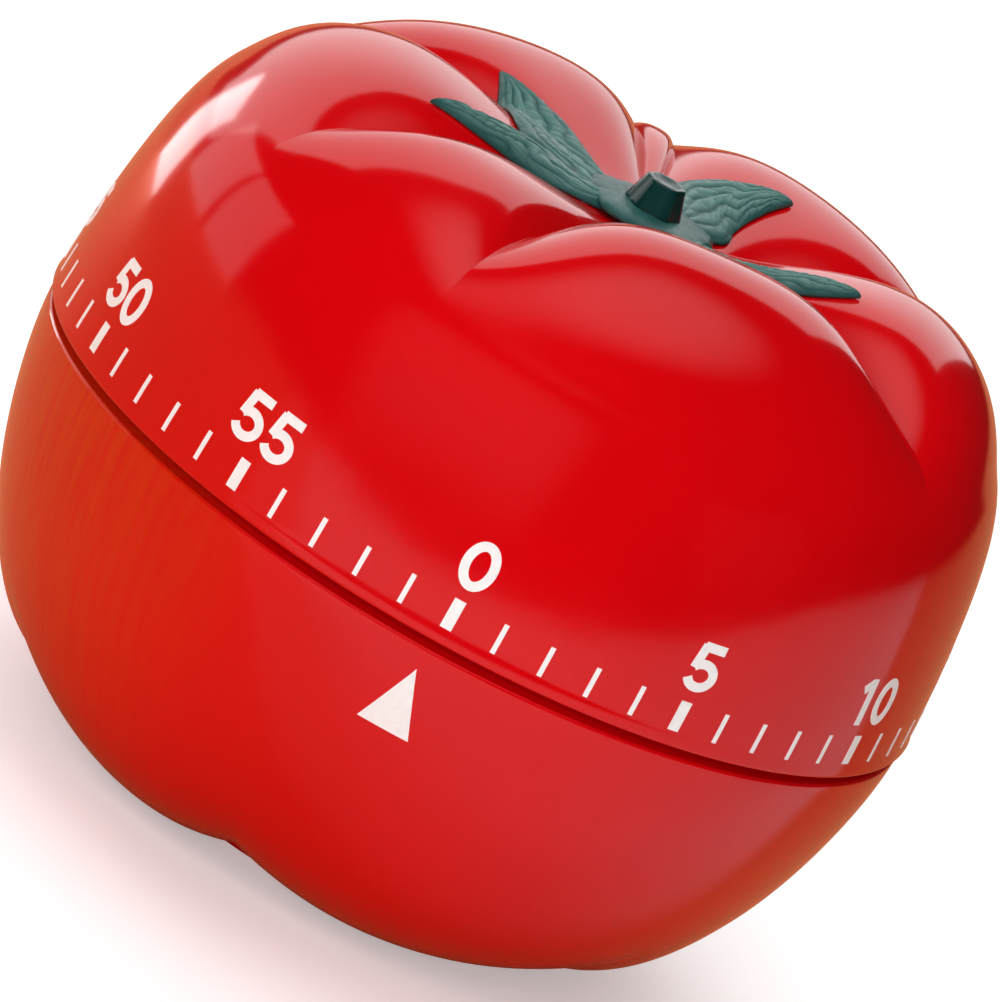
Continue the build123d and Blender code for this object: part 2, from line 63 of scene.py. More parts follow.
# A shell's profile is a Bezier curve from the rim to the axis, given by control points (radius, height),
# and it is turned about the axis. Lobes rise from it by the bulges, in millimetres, between the creases'
# headings, in degrees. Along the profile they begin, are full and end at the swell's parameters. A crown of
# 1 makes a lobe parabolic across, and less makes it flatter in its middle.
Shell = namedtuple("Shell", "profile outward creases bulges swell crown")
CAP = Shell(
    profile=[(33.65, SEAM_HEIGHT + SEAM_GAP / 2), (33.5, 37.2), (30.2, 48.0), (34.2, 54.6),
             (18.5, 49.2), (9.5, 50.0), (4.0, 50.1), (0.0, 50.1)],
    outward=1,
    creases=[-21.0, 58.5, 115.5, 179.0, 186.5, 245.5, 302.5],
    bulges=[4.9, 4.0, 3.1, 0.8, 2.9, 2.6, 2.2],
    swell=(0.31, 0.58, 0.88),
    crown=0.37,
)
BASE = Shell(
    profile=[(RING_RADIUS, SEAM_HEIGHT - SEAM_GAP / 2), (RING_RADIUS, 17.7), (28.0, 4.2),
             (27.2, -1.2), (12.7, FLOOR_HEIGHT), (5.0, FLOOR_HEIGHT), (0.0, FLOOR_HEIGHT)],
    outward=-1,
    creases=[-12.0, 57.0, 97.0, 153.0, 202.0, 250.0, 292.0],
    bulges=[1.9, 1.7, 1.9, 1.9, 1.9, 1.7, 2.2],
    swell=(0.27, 0.68, 0.94),
    crown=0.75,
)
COLUMNS_PER_LOBE = 44


# ---- Mesh helpers -------------------------------------------------------------------------------
def put_in_scene(name, data):
    made = bpy.data.objects.new(name, data)
    bpy.context.scene.collection.objects.link(made)
    return made


def new_piece(name, vertices, faces, body, material, smooth=True):
    """Mesh object from vertices in millimetres, riding on a CAD body."""
    mesh = bpy.data.meshes.new(name)
    mesh.from_pydata([tuple(c * MM for c in v) for v in vertices], [], faces)
    mesh.update()
    if smooth:
        mesh.shade_smooth()
    piece = put_in_scene(name, mesh)
    mesh.materials.append(material)
    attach(piece, body)
    return piece


def grid_faces(rows, columns, wrap_rows=False, wrap_columns=True, start=0, flip=False):
    """Quads of a grid of vertices stored row by row."""
    faces = []
    for i in range(rows if wrap_rows else rows - 1):
        for j in range(columns if wrap_columns else columns - 1):
            a, b = i * columns, (i + 1) % rows * columns
            k = (j + 1) % columns
            quad = (start + a + j, start + a + k, start + b + k, start + b + j)
            faces.append(quad[::-1] if flip else quad)
    return faces


def face_outward(piece, smallest_edge=0.0):
    """Turn the faces outward, after dissolving edges shorter than the smallest, in metres."""
    mesh = bmesh.new()
    mesh.from_mesh(piece.data)
    if smallest_edge:
        bmesh.ops.dissolve_degenerate(mesh, dist=smallest_edge, edges=mesh.edges)
    bmesh.ops.recalc_face_normals(mesh, faces=mesh.faces)
    mesh.to_mesh(piece.data)
    mesh.free()


# ---- Lobed surfaces -----------------------------------------------------------------------------
def smooth_step(t):
    t = np.clip(t, 0.0, 1.0)
    return t * t * (3 - 2 * t)


def profile_points(shell, s):
    """Points and outward normals of a crease profile at an array of parameters."""
    s = np.asarray(s, float)
    r = [np.full_like(s, p[0]) for p in shell.profile]
    z = [np.full_like(s, p[1]) for p in shell.profile]
    while len(r) > 2:
        r = [a + (b - a) * s for a, b in zip(r, r[1:])]
        z = [a + (b - a) * s for a, b in zip(z, z[1:])]
    length = np.hypot(r[1] - r[0], z[1] - z[0])
    out_r = shell.outward * (z[1] - z[0]) / length
    out_z = shell.outward * (r[0] - r[1]) / length
    return r[0] + (r[1] - r[0]) * s, z[0] + (z[1] - z[0]) * s, out_r, out_z


def columns_of(shell):
    """Headings of the grid's columns, crowded towards the creases, with lobe number and place across."""
    headings, lobes, across = [], [], []
    ends = shell.creases[1:] + [shell.creases[0] + 360]
    for lobe, (start, end) in enumerate(zip(shell.creases, ends)):
        for i in range(COLUMNS_PER_LOBE):
            x = -math.cos(math.pi * i / COLUMNS_PER_LOBE)
            headings.append(math.radians(start + (end - start) * (x + 1) / 2))
            lobes.append(lobe)
            across.append(x)
    return np.array(headings), np.array(lobes), np.array(across)


def lobed_rows(shell, s, inset=0.0):
    """Radius and height of the surface at parameters s, one row each, for every column."""
    headings, lobes, across = columns_of(shell)
    r, z, out_r, out_z = profile_points(shell, s)
    low, full, high = shell.swell
    rise = smooth_step((s - low) / (full - low)) * smooth_step((high - s) / (high - full))
    shape = 1 - shell.crown * across**2 - (1 - shell.crown) * across**4
    out = rise[:, None] * (np.array(shell.bulges)[lobes] * shape)[None, :] - inset
    return r[:, None] + out_r[:, None] * out, z[:, None] + out_z[:, None] * out


def plain_rows(points, columns):
    """Rows of a turned part of the shell, from (radius, height) points."""
    r = np.repeat(np.array([[p[0]] for p in points], float), columns, axis=1)
    z = np.repeat(np.array([[p[1]] for p in points], float), columns, axis=1)
    return r, z


def arc(center, radius, start, end, steps):
    """Points of a rounding in the (radius, height) plane, angles in degrees."""
    angles = [math.radians(start + (end - start) * i / steps) for i in range(steps + 1)]
    return [(center[0] + radius * math.cos(a), center[1] + radius * math.sin(a)) for a in angles]


def turned_mesh(name, shell, parts, body, material):
    """Shell from bands of rows, outside and inside, whose last row closes on the first."""
    headings, _, _ = columns_of(shell)
    r = np.vstack([p[0] for p in parts])
    z = np.vstack([p[1] for p in parts])
    x, y = r * np.sin(headings), -r * np.cos(headings)
    vertices = np.stack([x, y, z], axis=-1).reshape(-1, 3)
    faces = grid_faces(len(r), len(headings), wrap_rows=True)
    piece = new_piece(name, vertices.tolist(), faces, body, material)
    add_surface_map(piece, shell, r, z, headings)
    return piece


def add_surface_map(piece, shell, r, z, headings):
    """UV map that runs round the shell and up it, so that the fine lines of painted reflection can follow the
    meridians.
    """
    layer = piece.data.uv_layers.new(name="meridians")
    columns = len(headings)
    for loop in piece.data.loops:
        i, j = divmod(loop.vertex_index, columns)
        layer.data[loop.index].uv = (headings[j] / (2 * math.pi), z[i, j] / (2 * RING_HEIGHT))


# ---- Materials ----------------------------------------------------------------------------------
def node(tree, kind, **values):
    """New shader node; each value goes to the socket of its name, or else to the setting."""
    made = tree.nodes.new(kind)
    for key, value in values.items():
        if key in made.inputs:
            made.inputs[key].default_value = value
        else:
            setattr(made, key, value)
    return made


def new_material(name):
    material = bpy.data.materials.new(name)
    material.use_nodes = True
    tree = material.node_tree
    return material, tree, tree.nodes["Principled BSDF"]


def noise(tree, vector, scale, detail=3.0, roughness=0.5):
    made = node(tree, "ShaderNodeTexNoise", Scale=scale, Detail=detail, Roughness=roughness)
    tree.links.new(vector, made.inputs["Vector"])
    return made.outputs["Fac"]


def ramp(tree, factor, low, high, low_value, high_value, interpolation="LINEAR"):
    made = node(tree, "ShaderNodeMapRange", interpolation_type=interpolation)
    made.inputs["From Min"].default_value = low
    made.inputs["From Max"].default_value = high
    made.inputs["To Min"].default_value = low_value
    made.inputs["To Max"].default_value = high_value
    tree.links.new(factor, made.inputs["Value"])
    return made.outputs["Result"]


def mix_color(tree, factor, first, second):
    """Blend of two colours, each a tuple or a socket. The node keeps its colour sockets at 6, 7 and 2."""
    made = node(tree, "ShaderNodeMix", data_type="RGBA")
    for socket, value in ((made.inputs[6], first), (made.inputs[7], second)):
        if isinstance(value, tuple):
            socket.default_value = (*value, 1)
        else:
            tree.links.new(value, socket)
    tree.links.new(factor, made.inputs[0])
    return made.outputs[2]


def bump(tree, height, strength, distance):
    made = node(tree, "ShaderNodeBump", Strength=strength, Distance=distance)
    tree.links.new(height, made.inputs["Height"])
    return made.outputs["Normal"]


def red_plastic(name, reflection_streaks):
    """Glossy moulded red plastic, slowly varied and faintly rippled; optionally a painted orange reflection
    up the left side.
    """
    material, tree, shader = new_material(name)
    place = node(tree, "ShaderNodeTexCoord")
    tone = noise(tree, place.outputs["Object"], 45.0)
    fine = noise(tree, place.outputs["Object"], 2500.0, 2.0)
    ripple = noise(tree, place.outputs["Object"], 260.0, 1.0)
    # The third colour is painted reflection: the orange of the warm, shaded floor that the base's left side
    # mirrors.
    deep, bright, reflected_orange = (0.62, 0.0005, 0.0026), (0.70, 0.0010, 0.0040), (0.62, 0.050, 0.002)
    color = mix_color(tree, ramp(tree, tone, 0.3, 0.7, 0, 1), deep, bright)
    # Painted reflection: fine orange lines along the meridians, on the left side only, where the warm, shaded
    # floor is mirrored.
    if reflection_streaks:
        uv = node(tree, "ShaderNodeUVMap", uv_map="meridians")
        stretch = node(tree, "ShaderNodeMapping")
        stretch.inputs["Scale"].default_value = (150.0, 4.0, 1.0)
        tree.links.new(uv.outputs["UV"], stretch.inputs["Vector"])
        hair = noise(tree, stretch.outputs["Vector"], 1.6, 4.0, 0.6)
        where = node(tree, "ShaderNodeSeparateXYZ")
        tree.links.new(place.outputs["Object"], where.inputs["Vector"])
        reflecting_side = ramp(tree, where.outputs["X"], -0.012, -0.030, 0.0, 1.0)
        reflection_amount = node(tree, "ShaderNodeMath", operation="MULTIPLY")
        tree.links.new(ramp(tree, hair, 0.35, 0.75, 0.25, 1.0), reflection_amount.inputs[0])
        tree.links.new(reflecting_side, reflection_amount.inputs[1])
        color = mix_color(tree, reflection_amount.outputs[0], color, reflected_orange)
    tree.links.new(color, shader.inputs["Base Color"])
    tree.links.new(ramp(tree, fine, 0.2, 0.8, 0.085, 0.135), shader.inputs["Roughness"])
    tree.links.new(bump(tree, ripple, 0.035, 0.0004), shader.inputs["Normal"])
    shader.inputs["IOR"].default_value = 1.53
    shader.inputs["Specular IOR Level"].default_value = 0.42
    return material


def printed_white():
    """Matte white ink with a fine grain."""
    material, tree, shader = new_material("printed_white")
    place = node(tree, "ShaderNodeTexCoord")
    grain = noise(tree, place.outputs["Object"], 1800.0, 3.0)
    color = mix_color(tree, ramp(tree, grain, 0.35, 0.7, 0, 1), (0.93, 0.92, 0.92), (0.99, 0.98, 0.98))
    tree.links.new(color, shader.inputs["Base Color"])
    tree.links.new(ramp(tree, grain, 0.2, 0.8, 0.35, 0.5), shader.inputs["Roughness"])
    tree.links.new(bump(tree, grain, 0.1, 0.0001), shader.inputs["Normal"])
    return material


def leaf_green():
    """Satin blue-green, painted paler on the ridges and darker in the furrows: painted highlight and shade
    that follow the veins' relief.
    """
    material, tree, shader = new_material("leaf_green")
    place = node(tree, "ShaderNodeTexCoord")
    tone = noise(tree, place.outputs["Object"], 320.0, 4.0)
    fine = noise(tree, place.outputs["Object"], 2600.0, 3.0)
    relief = node(tree, "ShaderNodeAttribute", attribute_name="relief")
    # Painted highlight on the raised veins and painted shade in the furrows, from the relief stored on the
    # leaves.
    painted_vein_light = ramp(tree, relief.outputs["Fac"], 0.15, 0.95, 0.0, 1.0)
    base = mix_color(tree, ramp(tree, tone, 0.3, 0.7, 0, 1), (0.010, 0.075, 0.070), (0.030, 0.130, 0.118))
    color = mix_color(tree, painted_vein_light, base, (0.110, 0.250, 0.225))
    tree.links.new(color, shader.inputs["Base Color"])
    tree.links.new(ramp(tree, fine, 0.2, 0.8, 0.34, 0.52), shader.inputs["Roughness"])
    tree.links.new(bump(tree, fine, 0.25, 0.0002), shader.inputs["Normal"])
    return material


def stem_green():
    """Glossy, nearly black green."""
    material, tree, shader = new_material("stem_green")
    place = node(tree, "ShaderNodeTexCoord")
    tone = noise(tree, place.outputs["Object"], 400.0, 3.0)
    color = mix_color(tree, ramp(tree, tone, 0.3, 0.7, 0, 1), (0.002, 0.022, 0.020), (0.005, 0.045, 0.040))
    tree.links.new(color, shader.inputs["Base Color"])
    tree.links.new(ramp(tree, tone, 0.2, 0.8, 0.10, 0.2), shader.inputs["Roughness"])
    tree.links.new(bump(tree, tone, 0.08, 0.0002), shader.inputs["Normal"])
    return material


def metal(name, dark, light, low_roughness, high_roughness, stretch=(1.0, 1.0, 1.0)):
    """Brushed or stamped metal: tone and roughness follow a stretched grain."""
    material, tree, shader = new_material(name)
    place = node(tree, "ShaderNodeTexCoord")
    mapping = node(tree, "ShaderNodeMapping")
    mapping.inputs["Scale"].default_value = stretch
    tree.links.new(place.outputs["Object"], mapping.inputs["Vector"])
    grain = noise(tree, mapping.outputs["Vector"], 900.0, 4.0)
    blotch = noise(tree, place.outputs["Object"], 120.0, 3.0)
    color = mix_color(tree, ramp(tree, blotch, 0.3, 0.7, 0, 1), dark, light)
    tree.links.new(color, shader.inputs["Base Color"])
    shader.inputs["Metallic"].default_value = 1.0
    tree.links.new(ramp(tree, grain, 0.2, 0.8, low_roughness, high_roughness), shader.inputs["Roughness"])
    tree.links.new(bump(tree, grain, 0.12, 0.0001), shader.inputs["Normal"])
    return material


# ---- Shells -------------------------------------------------------------------------------------
PROFILE_START = 0.012
BEVEL = 0.2
ROUNDING = 0.3


def make_cap(material):
    """Cap with a rounded rim, a wall and a bored hub; its rows run from the rim over the top and back."""
    columns = len(columns_of(CAP)[0])
    edge, flare = 0.28, 0.12
    low_radius, low_height = CAP.profile[0]
    outer_end, inner_end = 0.955, 0.86
    outer = lobed_rows(CAP, np.linspace(PROFILE_START, outer_end, 130))
    inner = lobed_rows(CAP, np.linspace(inner_end, PROFILE_START, 60), WALL)
    hub_top = inner[1][0].mean()
    inside = low_radius - WALL
    rim = arc((inside + edge, low_height + edge), edge, 180, 270, 4)
    rim += arc((low_radius + flare - edge, low_height + edge), edge, 270, 360, 5)
    hub = [(HOLE_RADIUS, outer[1][-1].mean()), (HOLE_RADIUS, BORE_TOP), (BORE_RADIUS, BORE_TOP),
           (BORE_RADIUS, HUB_BOTTOM + BEVEL), (BORE_RADIUS + BEVEL, HUB_BOTTOM),
           (HUB_RADIUS - ROUNDING, HUB_BOTTOM), (HUB_RADIUS, HUB_BOTTOM + ROUNDING), (HUB_RADIUS, hub_top)]
    parts = [plain_rows(rim, columns), outer, plain_rows(hub, columns), inner]
    piece = turned_mesh("cap", CAP, parts, "dial", material)
    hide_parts("cap_shell")
    return piece


def make_base(material):
    """Base with a standing ring, a wall and a lip inside the cap; its rows run from the rim down and back."""
    columns = len(columns_of(BASE)[0])
    edge = 0.25
    top_radius, top_height = BASE.profile[0]
    s = np.linspace(PROFILE_START, 0.80, 160)
    r, z = lobed_rows(BASE, s)
    rows = 120
    outer_r, outer_z = np.empty((rows, columns)), np.empty((rows, columns))
    for j in range(columns):
        at_stand = np.interp(-STAND_OUTER, -r[:, j], s)
        new_s = np.linspace(s[0], at_stand, rows)
        outer_r[:, j] = np.interp(new_s, s, r[:, j])
        outer_z[:, j] = np.interp(new_s, s, z[:, j])
    stand = arc((STAND_OUTER - ROUNDING, ROUNDING), ROUNDING, 0, -90, 4)
    stand += arc((STAND_INNER + ROUNDING, ROUNDING), ROUNDING, -90, -180, 4)
    center = 0.01
    stand += [(STAND_INNER, FLOOR_HEIGHT - ROUNDING), (STAND_INNER - ROUNDING, FLOOR_HEIGHT),
              (center, FLOOR_HEIGHT), (center, FLOOR_HEIGHT + WALL), (1.5, FLOOR_HEIGHT + WALL)]
    inner = lobed_rows(BASE, np.linspace(0.93, 0.10, 60), WALL)
    lip = [(LIP_INNER, SEAM_HEIGHT - 2.0), (LIP_INNER, LIP_TOP - BEVEL), (LIP_INNER + BEVEL, LIP_TOP),
           (LIP_OUTER - BEVEL, LIP_TOP), (LIP_OUTER, LIP_TOP - BEVEL), (LIP_OUTER, top_height)]
    rim = arc((top_radius - edge, top_height - edge), edge, 90, 0, 5)
    parts = [plain_rows(rim, columns), (outer_r, outer_z), plain_rows(stand, columns), inner,
             plain_rows(lip, columns)]
    piece = turned_mesh("base", BASE, parts, "base", material)
    piece.data.flip_normals()
    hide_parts("base_shell")


# ---- Printed marks ------------------------------------------------------------------------------
def surface_radius(shell, height):
    """Radius of a shell at a height on its plain flank, where the lobes haven't begun."""
    s = np.linspace(0.0, shell.swell[0], 200)
    r, z, _, _ = profile_points(shell, s)
    order = np.argsort(z)
    return float(np.interp(height, z[order], r[order]))


def wrap(shell, points, heading, proud):
    """Flat (sideways, height) points laid on a shell's flank round a heading."""
    placed = []
    for sideways, height in points:
        radius = surface_radius(shell, height) + proud
        angle = heading + sideways / radius
        placed.append((radius * math.sin(angle), -radius * math.cos(angle), height))
    return placed


PRINT_PROUD = 0.035
PRINT_SUNK = -0.03


class Print:
    """Collects printed marks as thin slabs on one shell."""

    def __init__(self, shell):
        self.shell = shell
        self.vertices = []
        self.faces = []

    def slab(self, left, right, heading):
        """A strip between two rows of flat points, closed all round."""
        n = len(left)
        start = len(self.vertices)
        for proud in (PRINT_PROUD, PRINT_SUNK):
            for row in (left, right):
                self.vertices += wrap(self.shell, row, heading, proud)
        for i in range(n - 1):
            a = start + i
            self.faces.append((a, a + 1, a + n + 1, a + n))
            self.faces.append((a + 3 * n, a + 3 * n + 1, a + 2 * n + 1, a + 2 * n))
            self.faces.append((a + 2 * n, a + 2 * n + 1, a + 1, a))
            self.faces.append((a + n, a + n + 1, a + 3 * n + 1, a + 3 * n))
        for i in (0, n - 1):
            a = start + i
            end = (a, a + n, a + 3 * n, a + 2 * n)
            self.faces.append(end if i == 0 else end[::-1])

    def stroke(self, path, width, heading):
        """A stroke of constant width along a flat path."""
        left, right = [], []
        for i, (x, y) in enumerate(path):
            before, after = path[max(i - 1, 0)], path[min(i + 1, len(path) - 1)]
            dx, dy = after[0] - before[0], after[1] - before[1]
            length = math.hypot(dx, dy)
            nx, ny = -dy / length * width / 2, dx / length * width / 2
            left.append((x + nx, y + ny))
            right.append((x - nx, y - ny))
        self.slab(left, right, heading)

    def piece(self, name, body, material):
        made = new_piece(name, self.vertices, self.faces, body, material, smooth=False)
        face_outward(made)


def line(start, end, steps=8):
    """Points of a straight stroke."""
    return [(start[0] + (end[0] - start[0]) * i / steps, start[1] + (end[1] - start[1]) * i / steps)
            for i in range(steps + 1)]


def bow(cx, cy, rx, ry, start, end, steps=28):
    """Points of a curved stroke, part of an ellipse between two angles in degrees."""
    angles = [math.radians(start + (end - start) * i / steps) for i in range(steps + 1)]
    return [(cx + rx * math.cos(a), cy + ry * math.sin(a)) for a in angles]


# Strokes of each digit that the dial needs, in a box one unit high. Advance and stroke width are in the
# same unit; the digits' height is in millimetres.
DIGITS = {
    "0": [bow(0.37, 0.50, 0.275, 0.415, 0, 360, 48)],
    "1": [line((0.45, 0.0), (0.45, 1.0)), line((0.17, 0.76), (0.42, 0.92))],
    "2": [bow(0.36, 0.69, 0.255, 0.225, 172, -28, 24) + bow(0.36, 0.60, 0.262, 0.22, -18, -42, 4)
          + line((0.50, 0.40), (0.14, 0.10)), line((0.07, 0.085), (0.70, 0.085))],
    "3": [bow(0.35, 0.715, 0.235, 0.20, 165, -85, 24), bow(0.355, 0.295, 0.265, 0.21, 85, -165, 26)],
    "4": [line((0.53, 0.0), (0.53, 1.0)), line((0.03, 0.27), (0.72, 0.27)),
          line((0.09, 0.28), (0.50, 0.93))],
    "5": [line((0.17, 0.915), (0.66, 0.915)), line((0.215, 0.95), (0.145, 0.45)),
          bow(0.36, 0.325, 0.275, 0.24, 142, -158, 28)],
}
DIGIT_ADVANCE = 0.79
DIGIT_HEIGHT = 3.5
STROKE_WIDTH = 0.19
MARK_BOTTOM = RING_HEIGHT
MARK_HEIGHT = 2.2
NUMERAL_BOTTOM = MARK_BOTTOM + MARK_HEIGHT + 0.85
MINUTE_HALF_WIDTH, FIVE_HALF_WIDTH = 0.175, 0.42


def print_number(marks, text, heading):
    side_gap = 0.025
    start = -DIGIT_ADVANCE * len(text) / 2 * DIGIT_HEIGHT
    for place, digit in enumerate(text):
        for path in DIGITS[digit]:
            shift = start + (place * DIGIT_ADVANCE + side_gap) * DIGIT_HEIGHT
            moved = [(x * DIGIT_HEIGHT + shift, y * DIGIT_HEIGHT + NUMERAL_BOTTOM) for x, y in path]
            marks.stroke(moved, STROKE_WIDTH * DIGIT_HEIGHT, heading)


def make_dial_marks(material):
    """Sixty minute marks round the cap, with a wide mark and a number every five."""
    marks = Print(CAP)
    for minute in range(60):
        heading = math.radians(6 * minute)
        half = MINUTE_HALF_WIDTH if minute % 5 else FIVE_HALF_WIDTH
        rows = line((0, MARK_BOTTOM), (0, MARK_BOTTOM + MARK_HEIGHT), 4)
        marks.slab([(-half, z) for _, z in rows], [(half, z) for _, z in rows], heading)
        if minute % 5 == 0:
            print_number(marks, str(minute), heading)
    marks.piece("dial_marks", "dial", material)


def make_pointer(material):
    """White triangle on the base, pointing up at the seam."""
    width, low, high, heading = 3.85, 19.5, 24.5, math.radians(-0.5)
    steps, strips, tip = 16, 8, 0.02
    rows = [low + (high - low) * i / steps for i in range(steps + 1)]
    half = [max(tip, width / 2 * (high - z) / (high - low)) for z in rows]
    marks = Print(BASE)
    for k in range(strips):
        left = [(-h + 2 * h * k / strips, z) for h, z in zip(half, rows)]
        right = [(-h + 2 * h * (k + 1) / strips, z) for h, z in zip(half, rows)]
        marks.slab(left, right, heading)
    marks.piece("pointer", "base", material)


# ---- Calyx and stem -----------------------------------------------------------------------------
# Each leaf is its two edges seen from above, (x, y) in millimetres from the stem to the tip.
Leaf = namedtuple("Leaf", "left right ribs")
LEAVES = [
    Leaf(left=[(-1.0, -1.8), (-4.0, -3.6), (-7.5, -5.0), (-10.5, -5.9),
               (-13.0, -6.6), (-15.4, -7.1), (-17.1, -7.4)],
         right=[(-1.5, 0.5), (-5.0, 0.0), (-9.0, -0.9), (-11.5, -3.0),
                (-13.2, -4.6), (-15.4, -6.0), (-17.1, -7.4)],
         ribs=4),
    Leaf(left=[(-1.5, -0.6), (-5.5, -1.0), (-9.4, -1.4), (-10.7, 0.2),
               (-11.7, 3.0), (-12.6, 6.2), (-13.4, 8.7)],
         right=[(-1.2, 1.8), (-3.4, 3.8), (-5.2, 5.5), (-7.1, 6.8),
                (-9.2, 7.5), (-11.4, 8.1), (-13.4, 8.7)],
         ribs=6),
    Leaf(left=[(-1.8, 1.5), (-0.8, 6.0), (1.1, 9.8), (3.4, 11.5),
               (5.8, 12.3), (7.6, 12.5), (9.1, 12.1)],
         right=[(1.5, 0.8), (5.6, 3.4), (6.1, 5.5), (6.6, 7.2),
                (7.3, 8.8), (8.1, 10.4), (9.1, 12.1)],
         ribs=6),
    Leaf(left=[(1.2, 0.6), (4.0, -0.4), (6.6, -1.4), (9.0, -2.0),
               (11.4, -2.3), (13.6, -3.0), (15.2, -3.8)],
         right=[(1.5, -1.6), (4.6, -2.8), (7.4, -4.0), (10.0, -4.7),
                (12.3, -4.8), (14.0, -4.4), (15.2, -3.8)],
         ribs=5),
    Leaf(left=[(1.4, -0.8), (3.6, -2.8), (4.4, -5.0), (4.6, -7.0),
               (4.4, -8.6), (4.0, -9.8), (3.4, -10.8)],
         right=[(-0.6, -1.6), (0.2, -3.6), (0.8, -5.4), (1.4, -7.0),
                (2.0, -8.5), (2.7, -9.8), (3.4, -10.8)],
         ribs=4),
]
# A leaf's underside lies the lift above the cap, smoothed by two rounds of blur passes; the body rises
# above it, and the veins above that.
LEAF_LIFT = 0.08
LEAF_RISE = 0.62
LEAF_EMBOSS = 0.24
LEAF_ROWS, LEAF_COLUMNS = 150, 56
FIRST_PASSES, LAST_PASSES = 60, 12
ABOVE_ALL = 80.0


def smooth_path(points, steps):
    """Points along a Catmull-Rom curve through the given points."""
    ends = [points[0]] + points + [points[-1]]
    path = []
    for i in range(steps + 1):
        place = (len(points) - 1) * i / steps
        k = min(int(place), len(points) - 2)
        t = place - k
        p0, p1, p2, p3 = (Vector(ends[k + j]) for j in range(4))
        path.append(0.5 * (2 * p1 + (p2 - p0) * t + (2 * p0 - 5 * p1 + 4 * p2 - p3) * t**2
                           + (3 * p1 - p0 - 3 * p2 + p3) * t**3))
    return path


def blur(rows, passes):
    """Smooth a grid of heights along both its directions."""
    for _ in range(passes):
        padded = np.pad(rows, 1, mode="edge")
        rows = (padded[1:-1, 1:-1] * 2 + padded[:-2, 1:-1] + padded[2:, 1:-1] + padded[1:-1, :-2]
                + padded[1:-1, 2:]) / 6
    return rows


def leaf_relief(leaf, number, t, v):
    """Embossed veins at shares t along and v across a leaf: wavy ribs along it, short ones between."""
    wave = 0.42 * np.sin(11 * t + 2.3 * number + 2.0 * v) + 0.22 * np.sin(27 * t + 5 * v + number)
    ribs = np.abs(np.sin(np.pi * (leaf.ribs * v / 2 + wave))) ** 0.7
    cross = np.abs(np.sin(np.pi * (15 * t + 2.6 * np.abs(v) + 0.6 * np.sin(7 * v + 4 * t + number)))) ** 0.6
    middle = np.exp(-((v + 0.05 * np.sin(9 * t)) / 0.07) ** 2)
    return np.clip(0.55 * ribs + 0.45 * ribs * cross + 0.5 * middle, 0, 1.15)


def make_calyx(cap, material):
    """Leaves draped over the cap: a stiff underside that spans the creases, with embossed veins on top."""
    tree = BVHTree.FromPolygons([v.co for v in cap.data.vertices], [p.vertices for p in cap.data.polygons])

    def ground(x, y):
        hit = tree.ray_cast(Vector((x * MM, y * MM, ABOVE_ALL * MM)), Vector((0, 0, -1)))[0]
        return hit.z / MM if hit else CAP.profile[-1][1]

    vertices, faces, reliefs = [], [], []
    rows, columns = LEAF_ROWS + 1, LEAF_COLUMNS + 1
    count = rows * columns
    for number, leaf in enumerate(LEAVES):
        start = len(vertices)
        left, right = (np.array(smooth_path(side, LEAF_ROWS)) for side in (leaf.left, leaf.right))
        across = np.linspace(-1, 1, columns)[None, :]
        along = np.linspace(0, 1, rows)[:, None]
        share = (across + 1) / 2
        x = left[:, :1] * (1 - share) + right[:, :1] * share
        y = left[:, 1:] * (1 - share) + right[:, 1:] * share
        floor = np.array([[ground(a, b) for a, b in zip(*pair)] for pair in zip(x, y)])
        under = np.maximum(blur(floor, FIRST_PASSES), floor) + LEAF_LIFT
        under = np.maximum(blur(under, LAST_PASSES), floor + LEAF_LIFT / 2)
        relief = leaf_relief(leaf, number, along, across)
        edge = (1 - across**4) * (1 - along**10)
        over = under + LEAF_RISE * (0.3 + 0.7 * edge) + LEAF_EMBOSS * relief * edge
        vertices += np.stack([x, y, over], axis=-1).reshape(-1, 3).tolist()
        vertices += np.stack([x, y, under], axis=-1).reshape(-1, 3).tolist()
        reliefs += (relief * edge).ravel().tolist() + [0.0] * count
        faces += grid_faces(rows, columns, wrap_columns=False, start=start)
        faces += grid_faces(rows, columns, wrap_columns=False, start=start + count, flip=True)
        for i in range(LEAF_ROWS):
            for j in (0, LEAF_COLUMNS):
                a = start + i * columns + j
                quad = (a, a + columns, a + columns + count, a + count)
                faces.append(quad if j else quad[::-1])
        for i in (0, LEAF_ROWS):
            for j in range(LEAF_COLUMNS):
                a = start + i * columns + j
                quad = (a, a + 1, a + 1 + count, a + count)
                faces.append(quad[::-1] if i else quad)
    piece = new_piece("calyx_leaves", vertices, faces, "dial", material)
    # The relief also paints the leaves paler on their veins and darker in their furrows: painted highlight
    # and shade.
    layer = piece.data.attributes.new("relief", "FLOAT", "POINT")
    layer.data.foreach_set("value", reliefs)
    face_outward(piece, smallest_edge=1e-7)


def revolve_rows(name, rows, count, body, material, flute):
    """Turned piece from (radius, height) rows, closed at both ends, its radius scaled by the fluting."""
    vertices = []
    for k, (radius, height) in enumerate(rows):
        for j in range(count):
            angle = 2 * math.pi * j / count
            r = radius * flute(angle, k)
            vertices.append((r * math.cos(angle), r * math.sin(angle), height))
    faces = grid_faces(len(rows), count)
    faces.append(tuple(range(count))[::-1])
    faces.append(tuple(range((len(rows) - 1) * count, len(rows) * count)))
    return new_piece(name, vertices, faces, body, material)


def make_collar(material):
    """Ring of the calyx round the stem's foot."""
    rows = [(2.0, 50.3), (4.6, 50.4), (4.9, 50.75), (4.4, 51.05), (3.2, 51.2), (2.2, 51.25), (1.7, 51.2)]
    piece = revolve_rows("calyx_collar", rows, 120, "dial", material,
                         lambda a, k: 1 + 0.05 * math.sin(5 * a) + 0.02 * math.sin(17 * a + k))
    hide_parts("calyx")


